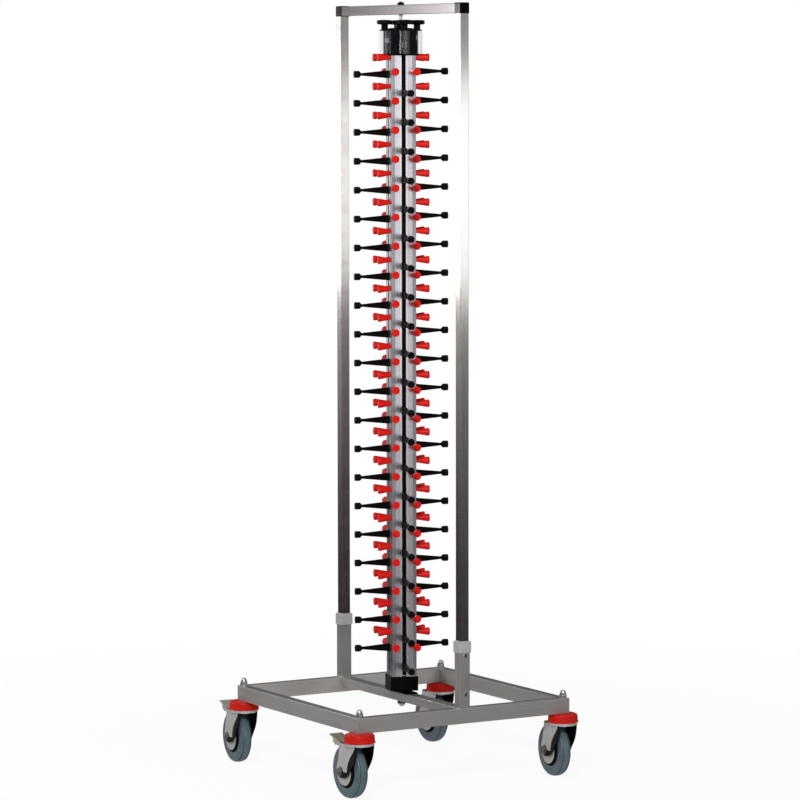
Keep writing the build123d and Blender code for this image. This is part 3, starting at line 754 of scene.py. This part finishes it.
RIM = [(5.0, 13.0), (31.0, 13.0), (32.2, 17.4), (33.0, 17.7), (34.4, 17.0), (36.4, 15.4), (38.6, 13.5), (39.6, 12.5)]
COVER = rounded([(4.05, 11.5), (4.05, 22.0), (9.2, 22.0, 0.6), (9.4, 17.9, 0.6), (13.0, 17.5, 1.0), (22.0, 18.5, 3.0), (31.2, 18.6, 1.2), (33.0, 17.5, 0.8), (32.6, 11.5)], 3)
wv, wf = lathe(wheel_line(), 96, "Y")
rv, rf = lathe(RIM + [(r, -y) for r, y in reversed(RIM)], 72, "Y")
cv, cf = lathe(COVER, 72, "Y")
mirror = Matrix.Diagonal((1, -1, 1, 1))

for name, (sx, sy) in CORNERS.items():
    braked = sy < 0
    at = turn_z(CASTER_YAW[name], sx * STEM, sy * STEM)
    hub_at = at @ Matrix.Translation((-TRAIL, 0, WHEEL_R))
    p = Piece()
    p.add(wv, wf, 0, hub_at)
    stand_in(p, f"tyre_{name}_look", ["tyre"], f"wheel_{name}", f"tyre_{name}", 30)
    p = Piece()
    p.add(rv, rf, 0, hub_at)
    p.add(cv, cf, 1, hub_at)
    p.add(cv, cf, 1, hub_at @ mirror)
    stand_in(p, f"wheel_hub_{name}_look", ["rim", "disc"], f"wheel_{name}", f"wheel_hub_{name}", 30)
    # fork: head plate with its race, two legs with raised panels; the leg plates take a near-black copy of the steel as
    # painted shade, the head and raised panels are zinc
    p = Piece()
    p.add(*lathe(PLATE, 72), 0, at)
    p.add(*slab(-47.0, -20.0, -LEG_IN - LEG_T, LEG_IN + LEG_T, 127.0, 131.0, 0.8, 2), 0, at)
    for s in (-1, 1):
        a, b = sorted((s * LEG_IN, s * (LEG_IN + LEG_T)))
        p.add(*prism(leg_line, a, b, "XZ", 0.5, 2), 1, at)
        a, b = sorted((s * (LEG_IN + LEG_T - 0.6), s * (LEG_IN + LEG_T + EMBOSS)))
        p.add(*prism(panel_line(), a, b, "XZ", 1.0, 3), 0, at)
    stand_in(p, f"fork_{name}_look", ["zinc", "leg"], f"fork_{name}", f"fork_{name}", 30)
    # axle bolt: head, nut, thread end
    out = LEG_IN + LEG_T
    p = Piece()
    spin = hub_at @ Matrix.Rotation(math.pi / 2, 4, "X")
    p.add(*prism(hexagon(17.0, 30), -out - 5.5, -out - 1.0, bevel=0.6, seg=2), 0, spin)
    p.add(*lathe([(3.0, -out - 1.0), (9.4, -out - 1.0), (9.4, -out), (3.0, -out)], 40), 0, spin)
    p.add(*prism(hexagon(17.0, 30), out + 1.0, out + 7.6, bevel=0.6, seg=2), 0, spin)
    p.add(*lathe([(3.0, out + 1.0), (9.4, out + 1.0), (9.4, out), (3.0, out)], 40), 0, spin)
    p.add(*lathe([(0, -out - 1), (3.9, -out - 1), (3.9, out + 5.0), (3.9, out + 8.6), (3.2, out + 9.2), (0, out + 9.2)], 32), 0, spin)
    stand_in(p, f"axle_bolt_{name}_look", ["nut"], f"fork_{name}", f"axle_bolt_{name}", 30)
    if braked:
        p = Piece()
        slope = [(-110.0, 139.6), (-65.0, 126.85), (-65.0, 124.75), (-110.0, 137.5)]
        p.add(*prism(slope, -17.0, 17.0, "XZ", 0.8, 2), 0, at)
        cheek = rounded([(-93.0, 134.0, 2), (-64.0, 125.8, 2), (-52.0, 124.8, 4), (-37.4, 124.6, 3), (-35.6, 120.6, 3), (-37.4, 116.4, 3), (-50.0, 115.6, 4), (-66.0, 117.0, 8), (-88.0, 121.0, 3), (-92.4, 125.0, 2)], 3)
        for s in (-1, 1):
            a, b = sorted((s * 15.2, s * 17.0))
            p.add(*prism(cheek, a, b, "XZ", 0.5, 2), 1, at)
            pin = at @ Matrix.Translation((-41.0, s * 20.2, 120.5)) @ Matrix.Rotation(math.pi / 2, 4, "X")
            p.add(*lathe([(0, -5.5), (2.1, -5.5), (2.5, -5.0), (2.5, 5.0), (2.1, 5.5), (0, 5.5)], 24), 2, pin)
        shoe = [(-92.0, 133.4), (-80.0, 130.0), (-77.5, 120.0), (-84.0, 116.4), (-91.0, 122.5)]
        p.add(*prism(shoe, -15.6, 15.6, "XZ", 0.8, 2), 0, at)
        stand_in(p, f"brake_pedal_{name}_look", ["pedal", "cheek", "leg"], f"pedal_{name}", f"brake_pedal_{name}", 30)


# ===================================================================== stage
def floor_material():
    m, nt, b = new_mat("floor")
    g = Net(nt)
    b.inputs["Base Color"].default_value = (0.90, 0.90, 0.895, 1)
    b.inputs["Roughness"].default_value = 0.9
    b.inputs["Specular IOR Level"].default_value = 0.1
    t = g.node("ShaderNodeTexCoord")
    ln = g.node("ShaderNodeVectorMath", operation="LENGTH")
    g.link(t.outputs["Object"], ln.inputs[0])
    fade = g.span(ln.outputs["Value"], 0.6, 2.6, 0.92, 1.0, True)
    clear_b = g.node("ShaderNodeBsdfTransparent")
    mix = g.node("ShaderNodeMixShader")
    g.link(fade, mix.inputs[0])
    g.link(b.outputs[0], mix.inputs[1])
    g.link(clear_b.outputs[0], mix.inputs[2])
    out = [n for n in nt.nodes if n.type == "OUTPUT_MATERIAL"][0]
    g.link(mix.outputs[0], out.inputs[0])
    return m


me = bpy.data.meshes.new("floor")
ring = [(3.6 * math.cos(2 * math.pi * k / 96), 3.6 * math.sin(2 * math.pi * k / 96), 0.0) for k in range(96)]
me.from_pydata(ring, [], [tuple(range(96))])
me.materials.append(floor_material())
floor = bpy.data.objects.new("floor", me)
bpy.context.scene.collection.objects.link(floor)
floor.location.z = -0.0002
floor.visible_glossy = False
floor.visible_diffuse = False

# the room's light, as seen by everything but the camera, which sees plain white behind the object
world = bpy.data.worlds.new("studio")
bpy.context.scene.world = world
world.use_nodes = True
world.cycles.sampling_method = "NONE"
nt = world.node_tree
nt.nodes.clear()
g = Net(nt)
t = g.node("ShaderNodeTexCoord")
sep = g.node("ShaderNodeSeparateXYZ")
g.link(t.outputs["Generated"], sep.inputs[0])
z = sep.outputs[2]
up = g.node("ShaderNodeValToRGB")
cr = up.color_ramp
cr.interpolation = "LINEAR"
cr.elements[0].position, cr.elements[0].color = 0.0, (0.42, 0.418, 0.415, 1)
cr.elements[1].position, cr.elements[1].color = 1.0, (0.5, 0.5, 0.505, 1)
for pos, col in ((0.29, (0.34, 0.337, 0.334)), (0.36, (0.09, 0.088, 0.086)), (0.40, (0.010, 0.0096, 0.009)), (0.4304, (0.0045, 0.0042, 0.0039)), (0.4391, (0.009, 0.0085, 0.0079)), (0.4477, (0.025, 0.0236, 0.0219)), (0.4564, (0.088, 0.0855, 0.0813)),
                 (0.4651, (0.22, 0.215, 0.208)), (0.4738, (0.30, 0.295, 0.288)), (0.52, (0.30, 0.297, 0.295)), (0.57, (0.18, 0.178, 0.178)), (0.72, (0.22, 0.22, 0.222))):
    e = cr.elements.new(pos)
    e.color = (*col, 1)
g.link(g.span(z, -1, 1, 0, 1), up.inputs[0])


def toward(vec, a, b):
    d = g.node("ShaderNodeVectorMath", operation="DOT_PRODUCT")
    g.link(t.outputs["Generated"], d.inputs[0])
    d.inputs[1].default_value = Vector(vec).normalized()
    return g.span(d.outputs["Value"], a, b, 0, 1, True)


lift = g.span(z, -0.124, -0.060, 0, 1, True)
leftside = toward((-0.857, -0.509, -0.09), 0.80, 0.98)
front = g.math("MULTIPLY", toward((0.989, -0.108, 0.0), 0.90, 0.985), g.math("MULTIPLY", lift, g.span(z, -0.02, 0.06, 1.0, 0.66, True)))
leftback = g.math("MULTIPLY", toward((-0.99, 0.109, 0.0), 0.92, 0.99), lift)
lp = g.node("ShaderNodeLightPath")
bg = g.node("ShaderNodeBackground")
more = g.node("ShaderNodeVectorMath", operation="SCALE")
g.link(up.outputs[0], more.inputs[0])
g.link(g.math("MULTIPLY_ADD", leftside, g.span(z, -0.135, -0.09, 2.6, 0.7), 1.0), more.inputs["Scale"])
col = g.mix(front, more.outputs[0], (1.22, 1.20, 1.235))
col = g.mix(leftback, col, (0.85, 0.84, 0.86))
col = g.mix(g.math("MULTIPLY", toward((-0.859, 0.511, 0.16), 0.93, 0.985), 0.7), col, (0.05, 0.049, 0.047))
dim = g.mix(g.span(z, -0.15, 0.5, 0, 1, True), (0.19, 0.19, 0.19), (0.42, 0.42, 0.425))
dim = g.mix(g.span(z, -0.55, -0.20, 1, 0, True), dim, (0.80, 0.80, 0.80))
col = g.mix(lp.outputs["Is Diffuse Ray"], col, dim)
col = g.mix(lp.outputs["Is Camera Ray"], col, (1.0, 1.0, 1.0))
g.link(col, bg.inputs[0])
wo = g.node("ShaderNodeOutputWorld")
g.link(bg.outputs[0], wo.inputs[0])


def softbox(name, at, aim, w, h, power, color=(1, 1, 1)):
    li = bpy.data.lights.new(name, "AREA")
    li.shape = "RECTANGLE"
    li.size, li.size_y = w, h
    li.energy = power
    li.color = color
    ob = bpy.data.objects.new(name, li)
    bpy.context.scene.collection.objects.link(ob)
    ob.location = at
    ob.rotation_mode = "QUATERNION"
    ob.rotation_quaternion = (Vector(at) - Vector(aim)).to_track_quat("Z", "Y")
    ob.visible_camera = False
    return ob


def along(dist, lateral, z):
    """A place by its distance behind the object along the mirrored view, and its sideways offset."""
    return (-0.8594 * dist + 0.5112 * lateral, -0.5112 * dist - 0.8594 * lateral, z)


def facing(dist, lateral, z):
    return (-0.8594 * (dist - 1) + 0.5112 * lateral, -0.5112 * (dist - 1) - 0.8594 * lateral, z)


softbox("softbox_left", along(2.7, 0.80, 1.355), facing(2.7, 0.80, 1.355), 1.6, 0.71, 21)
softbox("strip_left", along(2.7, 0.37, 1.83), facing(2.7, 0.37, 1.83), 0.50, 0.16, 1.15)
softbox("softbox_right", (2.70, 1.28, 1.30), (0.24, -0.26, 1.30), 1.0, 0.66, 4.58)
softbox("key_front", (4.5, -3.6, 3.6), (0.0, 0.0, 0.8), 1.0, 1.0, 235)
softbox("top", (0.6, -0.2, 4.2), (0.0, 0.0, 0.0), 2.6, 2.6, 3)

# ==================================================================== camera
cam = bpy.data.cameras.new("camera")
cam.sensor_width = 36.0
cam.sensor_fit = "HORIZONTAL"
cam.lens = 175.05
cam.clip_start, cam.clip_end = 0.1, 100.0
cam_ob = bpy.data.objects.new("camera", cam)
bpy.context.scene.collection.objects.link(cam_ob)
az, pitch, roll = 1.0345, 0.0834, -0.0014
fwd = Vector((-math.sin(az) * math.cos(pitch), math.cos(az) * math.cos(pitch), -math.sin(pitch)))
ri = Vector((math.cos(az), math.sin(az), 0.0))
upv = ri.cross(fwd)
c, s = math.cos(roll), math.sin(roll)
right = c * ri + s * upv
upc = -s * ri + c * upv
m = Matrix((right, upc, -fwd)).transposed().to_4x4()
m.translation = (7.7964, -4.6378, 1.6368)
cam_ob.matrix_world = m
bpy.context.scene.camera = cam_ob

sc = bpy.context.scene
sc.view_settings.view_transform = "Standard"
sc.view_settings.look = "None"
sc.view_settings.exposure = 0.0
sc.view_settings.gamma = 1.0
sc.cycles.use_denoising = True
